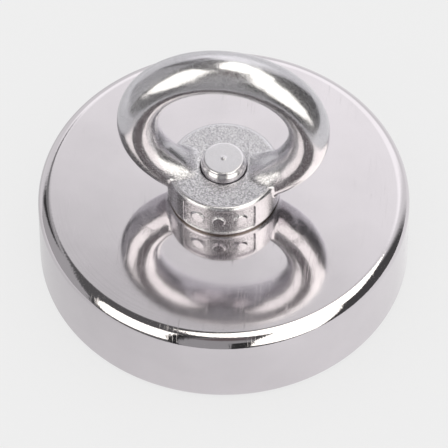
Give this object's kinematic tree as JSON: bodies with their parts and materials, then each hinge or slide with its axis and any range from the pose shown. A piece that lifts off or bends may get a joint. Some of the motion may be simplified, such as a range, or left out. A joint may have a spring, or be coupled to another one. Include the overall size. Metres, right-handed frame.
{
  "type": "magnet fishing magnet",
  "caption": "Round potted ring magnet with a cast eye nut held by a countersunk bolt, for lifting iron objects out of water on a rope.",
  "frame": {"origin": "centre of the magnet face, on the plane that the pot stands on", "axes": "+Z along the bolt, from the magnet face to the eye; the eye's opening faces along Y, and the sunk panel on the hub faces -Y"},
  "size_m": [0.06, 0.06, 0.049],
  "materials": {
    "plated_steel": "bright nickel plate on steel, mirror finish with fine scratches",
    "plated_magnet": "nickel plate on a sintered magnet, satin mirror",
    "resin": "poured resin, smooth",
    "glue": "thin bond, hidden",
    "bush_brass": "turned",
    "bolt_steel": "nickel plated, turned end",
    "plated_casting": "nickel plated casting, polished ring and granular hub"
  },
  "bodies": {
    "pot": {"pot_shell": "plated_steel", "ring_magnet": "plated_magnet", "outer_epoxy_ring": "resin", "glue_layer": "glue", "bore_bush": "bush_brass"},
    "bolt": {"countersunk_bolt": "bolt_steel"},
    "eye_nut": {"eye_nut": "plated_casting"}
  },
  "joints": [
    {"name": "nut_lift", "type": "slide", "parent": "pot", "child": "eye_nut", "axis": [0, 0, 1], "range_m": [0, 0.00875]},
    {"name": "bolt_spin", "type": "hinge", "parent": "pot", "child": "bolt", "pos_m": [0, 0, 0.015], "axis": [0, 0, -1], "range_deg": [0, 2521]}
  ],
  "couplings": [
    {"joint": "bolt_spin", "follows": "nut_lift", "rad_per_m": 5026.5}
  ]
}
